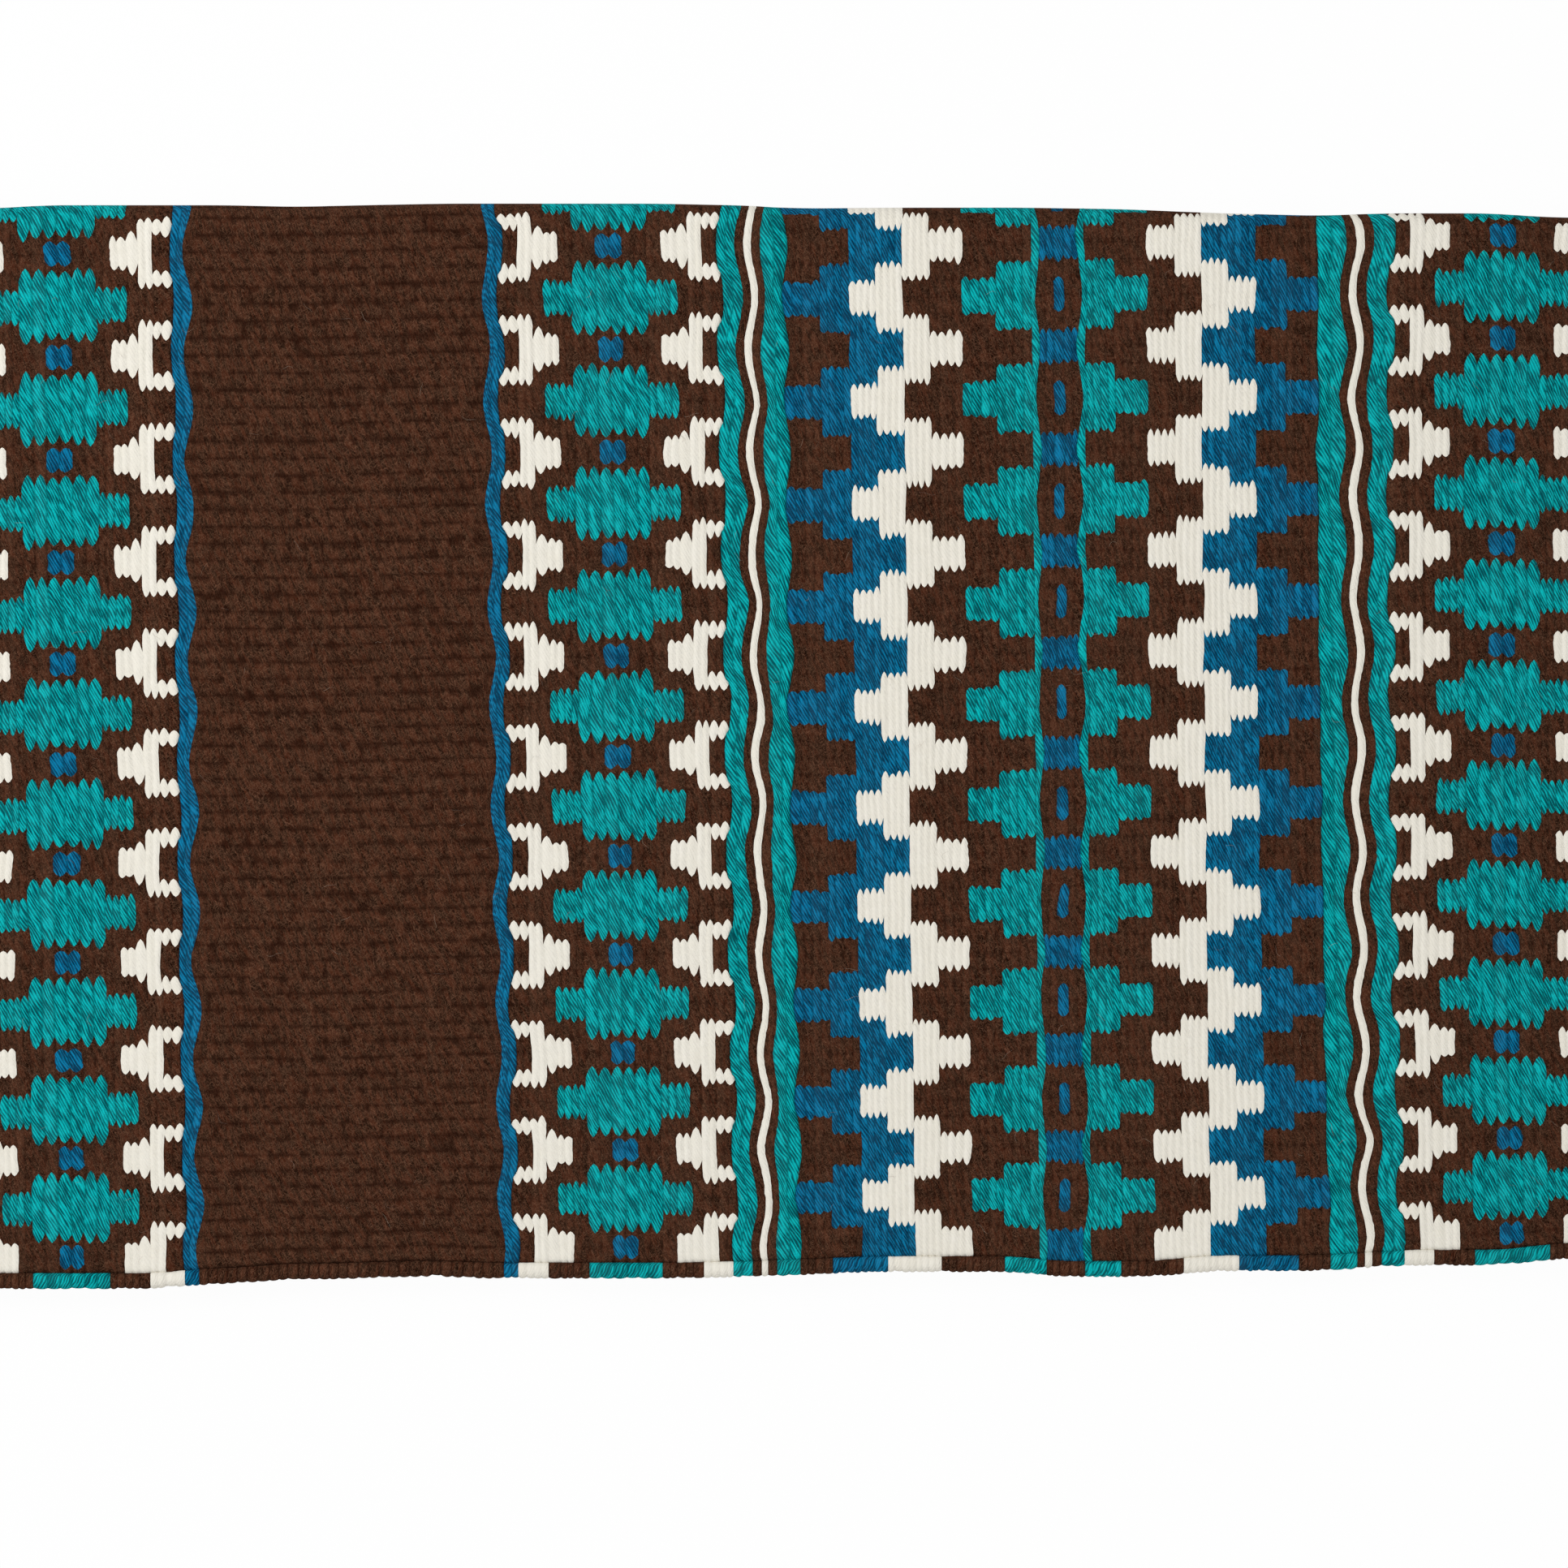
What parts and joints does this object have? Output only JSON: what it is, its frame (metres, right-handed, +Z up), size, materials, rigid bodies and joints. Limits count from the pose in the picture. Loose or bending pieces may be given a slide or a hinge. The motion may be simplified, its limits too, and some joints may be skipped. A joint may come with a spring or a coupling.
{
  "type": "saddle blanket",
  "caption": "Thick handwoven wool saddle blanket with stepped stripes, folded in half; the upper half lifts and lays out flat.",
  "frame": {"origin": "on the surface that the blanket lies on, under the middle of the folded blanket", "axes": "+X along the fold, +Y from the open hem to the fold, +Z up out of the upper half's face"},
  "size_m": [1.0168, 0.426, 0.0136],
  "materials": {
    "brown_wool": "matte handspun wool weft, dark brown, ribbed",
    "teal_wool": "matte handspun wool weft, teal",
    "blue_wool": "matte handspun wool weft, blue",
    "white_wool": "matte handspun wool weft, natural white"
  },
  "bodies": {
    "lower_half": {"lower_plain_field": "brown_wool", "lower_left_blue_line": "blue_wool", "lower_left_inner_diamonds": "brown_wool", "lower_left_inner_rail": "teal_wool", "lower_left_inner_step_field": "blue_wool", "lower_left_inner_zigzag": "white_wool", "lower_left_centre_field": "brown_wool", "lower_left_outer_zigzag": "white_wool", "lower_left_outer_step_field": "blue_wool", "lower_left_outer_rail": "teal_wool", "lower_left_outer_diamonds": "brown_wool", "lower_right_blue_line": "blue_wool", "lower_right_inner_diamonds": "brown_wool", "lower_right_inner_rail": "teal_wool", "lower_right_inner_step_field": "blue_wool", "lower_right_inner_zigzag": "white_wool", "lower_right_centre_field": "brown_wool", "lower_right_outer_zigzag": "white_wool", "lower_right_outer_step_field": "blue_wool", "lower_right_outer_rail": "teal_wool", "lower_right_outer_diamonds": "brown_wool", "lower_selvedge": "brown_wool"},
    "fold_roll": {"fold_plain_field": "brown_wool", "fold_left_blue_line": "blue_wool", "fold_left_inner_diamonds": "brown_wool", "fold_left_inner_rail": "teal_wool", "fold_left_steps": "blue_wool", "fold_left_outer_rail": "teal_wool", "fold_left_outer_diamonds": "brown_wool", "fold_right_blue_line": "blue_wool", "fold_right_inner_diamonds": "brown_wool", "fold_right_inner_rail": "teal_wool", "fold_right_steps": "blue_wool", "fold_right_outer_rail": "teal_wool", "fold_right_outer_diamonds": "brown_wool"},
    "upper_half": {"upper_plain_field": "brown_wool", "upper_left_blue_line": "blue_wool", "upper_left_inner_diamonds": "brown_wool", "upper_left_inner_rail": "teal_wool", "upper_left_inner_step_field": "blue_wool", "upper_left_inner_zigzag": "white_wool", "upper_left_centre_field": "brown_wool", "upper_left_outer_zigzag": "white_wool", "upper_left_outer_step_field": "blue_wool", "upper_left_outer_rail": "teal_wool", "upper_left_outer_diamonds": "brown_wool", "upper_right_blue_line": "blue_wool", "upper_right_inner_diamonds": "brown_wool", "upper_right_inner_rail": "teal_wool", "upper_right_inner_step_field": "blue_wool", "upper_right_inner_zigzag": "white_wool", "upper_right_centre_field": "brown_wool", "upper_right_outer_zigzag": "white_wool", "upper_right_outer_step_field": "blue_wool", "upper_right_outer_rail": "teal_wool", "upper_right_outer_diamonds": "brown_wool", "upper_selvedge": "brown_wool"}
  },
  "joints": [
    {"name": "lower_crease", "type": "hinge", "parent": "lower_half", "child": "fold_roll", "pos_m": [0, 0.20895, 0.00405], "axis": [-1, 0, 0], "range_deg": [0, 90], "deforming": ["fold_plain_field", "fold_left_blue_line", "fold_left_inner_diamonds", "fold_left_inner_rail", "fold_left_steps", "fold_left_outer_rail", "fold_left_outer_diamonds", "fold_right_blue_line", "fold_right_inner_diamonds", "fold_right_inner_rail", "fold_right_steps", "fold_right_outer_rail", "fold_right_outer_diamonds"]},
    {"name": "upper_crease", "type": "hinge", "parent": "fold_roll", "child": "upper_half", "pos_m": [0, 0.20895, 0.00955], "axis": [-1, 0, 0], "range_deg": [0, 90]}
  ]
}
